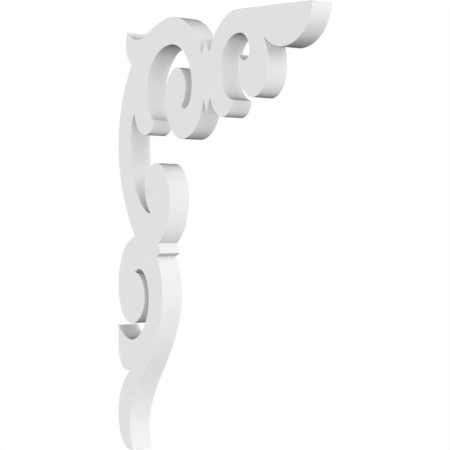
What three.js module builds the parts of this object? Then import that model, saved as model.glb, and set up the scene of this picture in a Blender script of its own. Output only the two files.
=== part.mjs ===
import * as THREE from 'three';

// A scrolled roof bracket, sawn from one board of white PVC.
// Sizes are in millimetres: X runs out from the wall, Y through the board and Z up.
const reach = 508;
const height = 825.5;
const thickness = 50.8;
const stepsPerArc = 14;
const pvcColour = 0xf1f1ee;
const pvcRoughness = 0.48;

// Headings are in degrees, seen from the front with the wall on the left.
const outward = 0;
const upward = 90;
const inward = 180;
const downward = -90;

// Points are [distance out from the wall, height above the foot's tip].
// A cusp is a sharp point, with the heading on each side of it.
const wall = 0;
const arm = {
  start: [323, height],
  end: [reach, height],
  leave: -95,
};
const drop = {
  bottom: [434, 749.5],
  cleft: { at: [388, 772], arrive: 132, leave: -63 },
};
const eye = {
  outer: [400, 723.5],
  bottom: [361.5, 663],
  inner: [326, 720.5],
  tip: { at: [328, 742], arrive: 75, leave: -77 },
  dip: [340.5, 731.5],
  stem: [353.5, 749.5],
};
const outerWindow = {
  top: [327, 782],
  inner: [280, 719],
};
const outerHook = {
  tip: { at: [309.5, 661], arrive: -11, leave: -91 },
  bottom: [284.5, 630.5],
};
const lowerDart = {
  outer: { at: [252, 668], arrive: 103 },
  point: [242.5, 641.5],
  inner: [234.5, 665.5],
  leave: -98,
};
const upperDart = {
  inner: { at: [229, 751.5], arrive: -74 },
  point: [240.5, 777],
  outer: [250, 752],
  leave: 72,
};
const ring = {
  bottom: [178, 594],
  top: [149.5, height - 0.5],
};
const tongue = {
  inner: [132, 673],
  top: [164, 729],
  outer: [186.5, 689.5],
  root: { at: [176.5, 656.5], arrive: -122, leave: -60 },
};
const innerWindow = {
  channel: [183.5, 651],
  outer: [203.5, 694],
  top: [148, 773.5],
  inner: [80, 685.5],
};
const innerHook = {
  tip: { at: [99, 633], arrive: -33, leave: -94 },
  bottom: [76, 605],
};
const leg = {
  cleft: { at: [44.5, 648.5], arrive: 100, leave: -115 },
  outer: [35, 598],
  slit: { at: [91.5, 455], arrive: -4, leave: 129 },
  heel: { at: [47.5, 411], arrive: 8, leave: 120 },
  inner: [wall, 588.5],
};
const bud = {
  inner: [75, 503.5],
  top: [108, 550.5],
  outer: [144.5, 482.5],
};
const bead = {
  top: { at: [111.5, 398.5], arrive: -140, leave: -61 },
  lip: { at: [119, 379], arrive: -80 },
  undercut: [107.5, 373.5],
  leave: -62,
};
const body = {
  outer: [124.5, 298],
  bend: { at: [78, 160.5], heading: -121 },
};
const foot = {
  outer: [33.5, 47.5],
  tip: { at: [42.5, 0], arrive: -69, leave: inward },
  sole: [34, 0],
  inner: [wall, 68],
  cleft: { at: [33, 152.5], arrive: 40, leave: inward },
};
const flange = {
  toe: { at: [13, 158], heading: 133 },
  bottom: [wall, 208],
  top: [wall, 240],
  leave: -59,
  bowl: [38.5, 212.5],
  rise: { at: [61, 223.5], heading: 43 },
};
const lowerScroll = {
  channelOuter: [86, 292.5],
  channelTop: [57.5, 349],
  channelEnd: { at: [46.5, 342.5], arrive: -144, leave: outward },
  discOuter: [74, 293.5],
  discBottom: [37, 244],
  discInner: [wall, 316],
};
const leaf = {
  cleft: { at: [37.5, 742], arrive: 62, leave: 138 },
  inner: [21.5, 778],
  tip: { at: [25, 805.5], arrive: 79, leave: -60 },
  dip: [56, 789.5],
  rise: { at: [80.5, 797], heading: 36 },
};

// The origin is the middle of the arm's flat top, which is fixed up against the eaves.
const origin = [(arm.start[0] + arm.end[0]) / 2, height];

function direction(heading) {
  const angle = THREE.MathUtils.degToRad(heading);
  return new THREE.Vector2(Math.cos(angle), Math.sin(angle));
}

// A pen that draws round stretches between points whose headings are known.
class Pen {
  constructor(point) {
    this.shape = new THREE.Shape();
    this.shape.moveTo(...point);
    this.at = new THREE.Vector2(...point);
    this.heading = outward;
  }

  turn(heading) {
    this.heading = heading;
  }

  line(point) {
    this.shape.lineTo(...point);
    this.at = new THREE.Vector2(...point);
  }

  // Both handles lie on the way to the point where the two tangents meet, at the share of
  // that way which gives a circular arc when the two ways are equal.
  arc(point, arrive) {
    const from = this.at;
    const to = new THREE.Vector2(...point);
    const leaving = direction(this.heading);
    const arriving = direction(arrive);
    const chord = to.clone().sub(from);
    const spread = leaving.cross(arriving);
    const firstRun = chord.cross(arriving) / spread;
    const lastRun = leaving.cross(chord) / spread;
    const bend = leaving.angleTo(arriving);
    const share = (4 / 3) * Math.tan(bend / 4) / Math.tan(bend / 2);
    const first = from.clone().addScaledVector(leaving, share * firstRun);
    const last = to.clone().addScaledVector(arriving, -share * lastRun);
    this.shape.bezierCurveTo(first.x, first.y, last.x, last.y, to.x, to.y);
    this.at = to;
    this.heading = arrive;
  }

  cusp({ at, arrive, leave }) {
    this.arc(at, arrive);
    this.turn(leave);
  }
}

// The flat top of the arm, and its round end that hangs down as a drop.
function traceArm(pen) {
  pen.line(arm.end);
  pen.turn(arm.leave);
  pen.arc(drop.bottom, inward);
  pen.cusp(drop.cleft);
}

// The eye of the outer scroll, round to the tip of its bulb and up its stem.
function traceEye(pen) {
  pen.arc(eye.outer, downward);
  pen.arc(eye.bottom, inward);
  pen.arc(eye.inner, upward);
  pen.cusp(eye.tip);
  pen.arc(eye.dip, outward);
  pen.arc(eye.stem, upward);
}

// The window round the eye, and the hook that closes it from below.
function traceOuterWindow(pen) {
  pen.arc(outerWindow.top, inward);
  pen.arc(outerWindow.inner, downward);
  pen.cusp(outerHook.tip);
  pen.arc(outerHook.bottom, inward);
}

// The small pointed dart under the joint of the two scrolls.
function traceLowerDart(pen) {
  pen.arc(lowerDart.outer.at, lowerDart.outer.arrive);
  pen.line(lowerDart.point);
  pen.line(lowerDart.inner);
  pen.turn(lowerDart.leave);
}

// The lower end of the ring and the tongue that curls up inside it.
function traceTongue(pen) {
  pen.arc(ring.bottom, inward);
  pen.arc(tongue.inner, upward);
  pen.arc(tongue.top, outward);
  pen.arc(tongue.outer, downward);
  pen.cusp(tongue.root);
}

// The window between tongue and ring, and the hook that points at the tongue.
function traceInnerWindow(pen) {
  pen.arc(innerWindow.channel, outward);
  pen.arc(innerWindow.outer, upward);
  pen.arc(innerWindow.top, inward);
  pen.arc(innerWindow.inner, downward);
  pen.cusp(innerHook.tip);
  pen.arc(innerHook.bottom, inward);
}

// The outer side of the leg, down to the slit that parts it from the bud.
function traceLegFront(pen) {
  pen.cusp(leg.cleft);
  pen.arc(leg.outer, downward);
  pen.cusp(leg.slit);
}

// The bud and the beaded lip below it.
function traceBud(pen) {
  pen.arc(bud.inner, upward);
  pen.arc(bud.top, outward);
  pen.arc(bud.outer, downward);
  pen.cusp(bead.top);
  pen.arc(bead.lip.at, bead.lip.arrive);
  pen.line(bead.undercut);
  pen.turn(bead.leave);
}

// The swept body down to the pointed foot, and back up its wall side.
function traceFoot(pen) {
  pen.arc(body.outer, downward);
  pen.arc(body.bend.at, body.bend.heading);
  pen.arc(foot.outer, downward);
  pen.cusp(foot.tip);
  pen.line(foot.sole);
  pen.arc(foot.inner, upward);
  pen.cusp(foot.cleft);
}

// The flat pad that bears on the wall, and the bowl above it.
function traceFlange(pen) {
  pen.arc(flange.toe.at, flange.toe.heading);
  pen.arc(flange.bottom, upward);
  pen.line(flange.top);
  pen.turn(flange.leave);
  pen.arc(flange.bowl, outward);
  pen.arc(flange.rise.at, flange.rise.heading);
}

// The narrow channel round the disc of the lower scroll.
function traceLowerScroll(pen) {
  pen.arc(lowerScroll.channelOuter, upward);
  pen.arc(lowerScroll.channelTop, inward);
  pen.cusp(lowerScroll.channelEnd);
  pen.arc(lowerScroll.discOuter, downward);
  pen.arc(lowerScroll.discBottom, inward);
  pen.arc(lowerScroll.discInner, upward);
}

// The wall side of the leg, up to the leaf at its top.
function traceLegBack(pen) {
  pen.cusp(leg.heel);
  pen.arc(leg.inner, upward);
  pen.cusp(leaf.cleft);
  pen.arc(leaf.inner, upward);
  pen.cusp(leaf.tip);
  pen.arc(leaf.dip, outward);
  pen.arc(leaf.rise.at, leaf.rise.heading);
}

// The back of the ring, the upper dart and the rise to the arm.
function traceRingTop(pen) {
  pen.arc(ring.top, outward);
  pen.arc(upperDart.inner.at, upperDart.inner.arrive);
  pen.line(upperDart.point);
  pen.line(upperDart.outer);
  pen.turn(upperDart.leave);
  pen.arc(arm.start, outward);
}

// The whole outline, clockwise from the wall end of the arm's top.
function bracketOutline() {
  const pen = new Pen(arm.start);
  traceArm(pen);
  traceEye(pen);
  traceOuterWindow(pen);
  traceLowerDart(pen);
  traceTongue(pen);
  traceInnerWindow(pen);
  traceLegFront(pen);
  traceBud(pen);
  traceFoot(pen);
  traceFlange(pen);
  traceLowerScroll(pen);
  traceLegBack(pen);
  traceRingTop(pen);
  return pen.shape;
}

// The board stands upright, with the middle of its thickness on Y = 0.
function makeBracket() {
  const geometry = new THREE.ExtrudeGeometry(bracketOutline(), {
    depth: thickness,
    curveSegments: stepsPerArc,
    bevelEnabled: false,
  });
  geometry.rotateX(Math.PI / 2);
  geometry.translate(-origin[0], thickness / 2, -origin[1]);
  const pvc = new THREE.MeshStandardMaterial({
    color: pvcColour,
    roughness: pvcRoughness,
    metalness: 0,
  });
  const mesh = new THREE.Mesh(geometry, pvc);
  mesh.name = 'bracket';
  return mesh;
}

const part = new THREE.Group();
part.add(makeBracket());

export default part;
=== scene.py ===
import math

import bpy
import numpy as np
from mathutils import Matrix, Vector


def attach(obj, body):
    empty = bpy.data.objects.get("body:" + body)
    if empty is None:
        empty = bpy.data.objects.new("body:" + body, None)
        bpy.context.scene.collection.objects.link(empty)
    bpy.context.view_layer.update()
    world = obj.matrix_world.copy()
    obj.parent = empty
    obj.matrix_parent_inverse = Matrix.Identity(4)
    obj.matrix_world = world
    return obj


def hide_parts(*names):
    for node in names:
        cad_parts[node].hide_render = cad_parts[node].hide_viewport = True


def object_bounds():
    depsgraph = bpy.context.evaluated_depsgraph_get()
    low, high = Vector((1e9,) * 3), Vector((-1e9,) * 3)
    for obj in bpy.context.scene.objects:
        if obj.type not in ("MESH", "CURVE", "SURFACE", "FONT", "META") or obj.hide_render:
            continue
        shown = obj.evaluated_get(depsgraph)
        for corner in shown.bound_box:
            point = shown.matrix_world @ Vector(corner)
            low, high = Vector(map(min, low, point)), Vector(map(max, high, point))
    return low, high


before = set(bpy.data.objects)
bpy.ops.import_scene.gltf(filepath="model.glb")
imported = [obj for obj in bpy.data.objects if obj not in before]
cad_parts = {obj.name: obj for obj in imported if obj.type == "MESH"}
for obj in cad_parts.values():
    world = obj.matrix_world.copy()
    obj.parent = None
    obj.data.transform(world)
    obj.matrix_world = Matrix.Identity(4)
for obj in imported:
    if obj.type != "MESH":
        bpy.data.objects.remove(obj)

cadLow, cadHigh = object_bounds()  # the solid's box, before any piece is added
print("frame loaded, nodes:", sorted(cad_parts))


# Camera: level, well to the outer side of the board's face, at about half its height
photoView = dict(
    lens=151.43,  # mm
    sensor=36.0,  # mm
    turn=44.839,  # degrees round from square on to the face
    place=(2.31775, -2.4915, -0.41632),
    shift=(0.00875, 0.02778),
)


def placeCamera(view):
    camera = bpy.data.objects.new("camera", bpy.data.cameras.new("camera"))
    camera.data.sensor_width = view["sensor"]
    camera.data.lens = view["lens"]
    camera.data.shift_x, camera.data.shift_y = view["shift"]
    camera.location = view["place"]
    camera.rotation_euler = (math.pi / 2, 0.0, math.radians(view["turn"]))
    bpy.context.scene.collection.objects.link(camera)
    bpy.context.scene.camera = camera


placeCamera(photoView)
print("camera placed")


# Board: the sawn outline carried through the thickness, with a small round on every arris
board = dict(
    node="bracket",
    arris=0.00025,  # radius of the eased arris, m
    arrisSteps=4,
    cornerTurn=17.0,  # a sharper turn than this, in degrees, is a corner
    tipShare=0.2,  # near a corner the arris shrinks to this share of the way to it
    tipArris=0.00004,  # added to that, m
)


# The front edges of the side walls, chained head to tail. The chain is walked by doubling:
# the next stretch of the walk is the walk so far, each point moved on by the walk's length.
def readOutline(node):
    perMetre = 1e6  # points are matched to the micrometre
    mesh = node.data
    spots = np.empty(len(mesh.vertices) * 3)
    mesh.vertices.foreach_get("co", spots)
    spots = spots.reshape(-1, 3)
    mesh.calc_loop_triangles()
    triangles = np.empty(len(mesh.loop_triangles) * 3, int)
    mesh.loop_triangles.foreach_get("vertices", triangles)
    triangles = triangles.reshape(-1, 3)
    isFront = spots[:, 1] < spots[:, 1].mean()
    frontCount = isFront[triangles].sum(1)
    walls = triangles[frontCount == 2]
    starts, ends = walls.ravel(), np.roll(walls, -1, axis=1).ravel()
    onFront = isFront[starts] & isFront[ends]
    starts, ends = starts[onFront], ends[onFront]
    flat = spots[np.concatenate([starts, ends])][:, [0, 2]]
    micrometres = np.round(flat * perMetre).astype(int)
    places, place = np.unique(micrometres, axis=0, return_inverse=True)
    follow = np.empty(len(places), int)
    follow[place.ravel()[:len(starts)]] = place.ravel()[len(starts):]
    walk, jump = np.zeros(1, int), follow
    while len(walk) < len(places):
        walk = np.concatenate([walk, jump[walk]])
        jump = jump[jump]
    return places[walk[:len(places)]] / perMetre


def unit(vectors):
    return vectors / np.linalg.norm(vectors, axis=-1, keepdims=True)


# Per outline edge: its outward normal at both ends, shared with the neighbour except at corners.
# Per outline point: the mitre, which moves both of its edges outwards by one.
def outlineNormals(outline, cornerTurn):
    after = np.roll(outline, -1, axis=0)
    along = unit(after - outline)
    before = np.roll(along, 1, axis=0)
    side = np.sign(np.sum(outline[:, 0] * after[:, 1] - after[:, 0] * outline[:, 1]))
    normal = side * np.stack([along[:, 1], -along[:, 0]], 1)
    normalBefore = np.roll(normal, 1, axis=0)
    across = before[:, 0] * along[:, 1] - before[:, 1] * along[:, 0]
    turn = np.arctan2(across, np.sum(before * along, 1))
    corner = np.abs(turn) > math.radians(cornerTurn)
    shared = unit(normal + normalBefore)
    atStart = np.where(corner[:, None], normal, shared)
    atEnd = np.roll(np.where(corner[:, None], normalBefore, shared), -1, axis=0)
    mitre = (normal + normalBefore) / (1 + np.sum(normal * normalBefore, 1, keepdims=True))
    return atStart, atEnd, mitre, corner


# Distance along the outline to the nearest corner, the shorter way round.
def wayToCorner(outline, corner):
    step = np.linalg.norm(np.roll(outline, -1, axis=0) - outline, axis=1)
    run = np.cumsum(step) - step
    gap = np.abs(run[:, None] - run[corner][None, :])
    return np.minimum(gap, step.sum() - gap).min(1)


# Each corner of a face gets the outline's normal turned towards the face it rolls into.
def boardNormals(atStart, atEnd, outwards, facing):
    def turned(flat, row):
        rolled = np.empty((len(row), len(flat), 3))
        rolled[..., [0, 2]] = outwards[row][:, None, None] * flat
        rolled[..., 1] = facing[row][:, None]
        return rolled
    upper, lower = np.arange(len(outwards) - 1), np.arange(1, len(outwards))
    corners = [(atStart, upper), (atEnd, upper), (atEnd, lower), (atStart, lower)]
    walls = np.stack([turned(flat, row) for flat, row in corners], 2)
    capNormals = np.repeat([[0.0, -1.0, 0.0], [0.0, 1.0, 0.0]], len(atStart), axis=0)
    return np.concatenate([walls.reshape(-1, 3), capNormals])


# Surface of two parameters: along the outline, and across it from the front face's rim, round the
# front arris, over the sawn wall and round the back arris to the back face's rim.
def makeBoard(settings):
    outline = readOutline(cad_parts[settings["node"]])
    front, back = cadLow.y, cadHigh.y
    atStart, atEnd, mitre, corner = outlineNormals(outline, settings["cornerTurn"])
    way = wayToCorner(outline, corner)
    radius = np.minimum(settings["arris"], settings["tipArris"] + settings["tipShare"] * way)
    steps = settings["arrisSteps"]
    roll = np.linspace(0, math.pi / 2, steps + 1)
    inset = np.concatenate([1 - np.sin(roll), 1 - np.sin(roll[::-1])])
    depth = 1 - np.cos(roll)
    outwards = np.concatenate([np.sin(roll), np.sin(roll[::-1])])
    facing = np.concatenate([-np.cos(roll), np.cos(roll[::-1])])
    rows, count = len(inset), len(outline)
    spots = np.empty((rows, count, 3))
    spots[..., [0, 2]] = outline - inset[:, None, None] * radius[:, None] * mitre
    spots[:steps + 1, :, 1] = front + depth[:, None] * radius
    spots[steps + 1:, :, 1] = back - depth[::-1][:, None] * radius
    number = np.arange(rows * count).reshape(rows, count)
    after = np.roll(number, -1, axis=1)
    quads = np.stack([number[:-1], after[:-1], after[1:], number[1:]], -1).reshape(-1, 4)
    caps = [number[0][::-1].tolist(), number[-1].tolist()]
    mesh = bpy.data.meshes.new("bracketBoard")
    mesh.from_pydata(spots.reshape(-1, 3), [], quads.tolist() + caps)
    mesh.polygons.foreach_set("use_smooth", np.ones(len(mesh.polygons), bool))
    mesh.normals_split_custom_set(boardNormals(atStart, atEnd, outwards, facing))
    sawn = mesh.attributes.new("sawn", "FLOAT", "POINT")
    sawn.data.foreach_set("value", np.repeat(outwards, count).astype(np.float32))
    piece = bpy.data.objects.new("bracketBoard", mesh)
    bpy.context.scene.collection.objects.link(piece)
    print("board made:", count, "outline points,", int(corner.sum()), "corners")
    return piece


bracket = makeBoard(board)
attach(bracket, "root")
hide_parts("bracket")


# Finish: white PVC, with a smooth skin on the two faces and a slightly greyer sawn core on the edges
pvc = dict(
    skinPale=(0.79, 0.79, 0.79, 1.0),
    skinDull=(0.77, 0.77, 0.77, 1.0),
    corePale=(0.71, 0.71, 0.71, 1.0),
    coreDull=(0.69, 0.69, 0.69, 1.0),
    skinRoughness=0.3,
    coreRoughness=0.25,
    ior=1.53,
    cloudScale=11.0,  # clouds per metre
    cloudDetail=4.0,
    grainScale=700.0,  # grains per metre across the face
    grainDetail=2.0,
    grainStretch=(1.0, 0.03, 1.0),  # drawn out through the board
    reliefStrength=0.12,
    reliefDepth=0.0001,  # m
)


def makePvc(finish):
    material = bpy.data.materials.new("whitePvc")
    material.use_nodes = True
    nodes, links = material.node_tree.nodes, material.node_tree.links
    shader = nodes["Principled BSDF"]
    shader.inputs["IOR"].default_value = finish["ior"]

    def mix(kind, factor, first, second):
        node = nodes.new("ShaderNodeMix")
        node.data_type = kind
        sockets = [s for s in node.inputs if s.enabled]
        links.new(factor, sockets[0])
        for socket, value in zip(sockets[-2:], (first, second)):
            if isinstance(value, bpy.types.NodeSocket):
                links.new(value, socket)
            else:
                socket.default_value = value
        return [s for s in node.outputs if s.enabled][0]

    place = nodes.new("ShaderNodeTexCoord").outputs["Object"]
    sawn = nodes.new("ShaderNodeAttribute")
    sawn.attribute_name = "sawn"
    cloud = nodes.new("ShaderNodeTexNoise")  # faint clouding, a hand's breadth across
    cloud.inputs["Scale"].default_value = finish["cloudScale"]
    cloud.inputs["Detail"].default_value = finish["cloudDetail"]
    links.new(place, cloud.inputs["Vector"])
    pale = mix("RGBA", sawn.outputs["Fac"], finish["skinPale"], finish["corePale"])
    dull = mix("RGBA", sawn.outputs["Fac"], finish["skinDull"], finish["coreDull"])
    links.new(mix("RGBA", cloud.outputs["Fac"], dull, pale), shader.inputs["Base Color"])
    roughness = mix("FLOAT", sawn.outputs["Fac"], finish["skinRoughness"], finish["coreRoughness"])
    links.new(roughness, shader.inputs["Roughness"])

    # Fine grain, drawn out through the board: a pebbled skin on the faces, cutter marks on the edges
    stretch = nodes.new("ShaderNodeMapping")
    stretch.inputs["Scale"].default_value = finish["grainStretch"]
    links.new(place, stretch.inputs["Vector"])
    grain = nodes.new("ShaderNodeTexNoise")
    grain.inputs["Scale"].default_value = finish["grainScale"]
    grain.inputs["Detail"].default_value = finish["grainDetail"]
    links.new(stretch.outputs["Vector"], grain.inputs["Vector"])
    relief = nodes.new("ShaderNodeBump")
    relief.inputs["Strength"].default_value = finish["reliefStrength"]
    relief.inputs["Distance"].default_value = finish["reliefDepth"]
    links.new(grain.outputs["Fac"], relief.inputs["Height"])
    links.new(relief.outputs["Normal"], shader.inputs["Normal"])
    return material


bracket.data.materials.append(makePvc(pvc))
print("finish made")


# Studio: a pale floor well below the part, a key in front, a broad bank of soft light along the
# outer side and round to the back, and a broad fill on the wall side
studio = dict(
    floorDrop=1.9,  # m below the foot
    floorHalf=9.0,  # m from the middle to each side
    floorColour=(0.8, 0.8, 0.8, 1.0),
    floorRoughness=0.9,
    floorGlow=0.95,
    white=(1.0, 1.0, 1.0, 1.0),
    bounces=0,  # little bounced light, so gaps stay nearly as dark as in the photo
)
softLights = [
    dict(name="key", turn=30, rise=0, spread=10, strength=0.95),
    dict(name="bankNear", turn=58, rise=18, spread=45, strength=0.16),
    dict(name="bankLow", turn=90, rise=-32, spread=45, strength=0.145),
    dict(name="bankHigh", turn=90, rise=36, spread=45, strength=0.25),
    dict(name="bankFarHigh", turn=122, rise=36, spread=45, strength=0.185),
    dict(name="backLow", turn=159, rise=-32, spread=45, strength=0.12),
    dict(name="backBank", turn=159, rise=0, spread=45, strength=0.36),
    dict(name="backHigh", turn=159, rise=54, spread=45, strength=0.08),
    dict(name="backFill", turn=180, rise=0, spread=40, strength=0.18),
    dict(name="wallFill", turn=-90, rise=0, spread=45, strength=0.75),
]


def makeFloor(settings):
    half, level = settings["floorHalf"], cadLow.z - settings["floorDrop"]
    mesh = bpy.data.meshes.new("floor")
    spots = [(-half, -half, level), (half, -half, level), (half, half, level), (-half, half, level)]
    mesh.from_pydata(spots, [], [(0, 1, 2, 3)])
    floor = bpy.data.objects.new("floor", mesh)
    bpy.context.scene.collection.objects.link(floor)
    paint = bpy.data.materials.new("paleFloor")
    paint.use_nodes = True
    shader = paint.node_tree.nodes["Principled BSDF"]
    shader.inputs["Base Color"].default_value = settings["floorColour"]
    shader.inputs["Roughness"].default_value = settings["floorRoughness"]
    shader.inputs["Emission Color"].default_value = settings["white"]
    shader.inputs["Emission Strength"].default_value = settings["floorGlow"]
    mesh.materials.append(paint)
    floor.visible_diffuse = False
    floor.visible_glossy = False
    floor.visible_shadow = False  # so the low lights reach the part


# Turn is the way round from the front towards the outer side, and rise the height above level.
def makeSoftLight(settings, bounces):
    lamp = bpy.data.lights.new(settings["name"], "SUN")
    lamp.angle = math.radians(settings["spread"])
    lamp.energy = math.pi * settings["strength"]
    lamp.cycles.max_bounces = bounces
    light = bpy.data.objects.new(settings["name"], lamp)
    tilt = math.pi / 2 - math.radians(settings["rise"])
    light.rotation_euler = (tilt, 0.0, math.radians(settings["turn"]))
    bpy.context.scene.collection.objects.link(light)


# The backdrop is seen as white, but gives no light of its own.
def makeWorld(colour):
    world = bpy.data.worlds.new("studio")
    bpy.context.scene.world = world
    world.use_nodes = True
    nodes, links = world.node_tree.nodes, world.node_tree.links
    backdrop = nodes["Background"]
    backdrop.inputs["Color"].default_value = colour
    path = nodes.new("ShaderNodeLightPath")
    links.new(path.outputs["Is Camera Ray"], backdrop.inputs["Strength"])


makeFloor(studio)
for softLight in softLights:
    makeSoftLight(softLight, studio["bounces"])
makeWorld(studio["white"])
bpy.context.scene.view_settings.view_transform = "Standard"
print("studio lit")
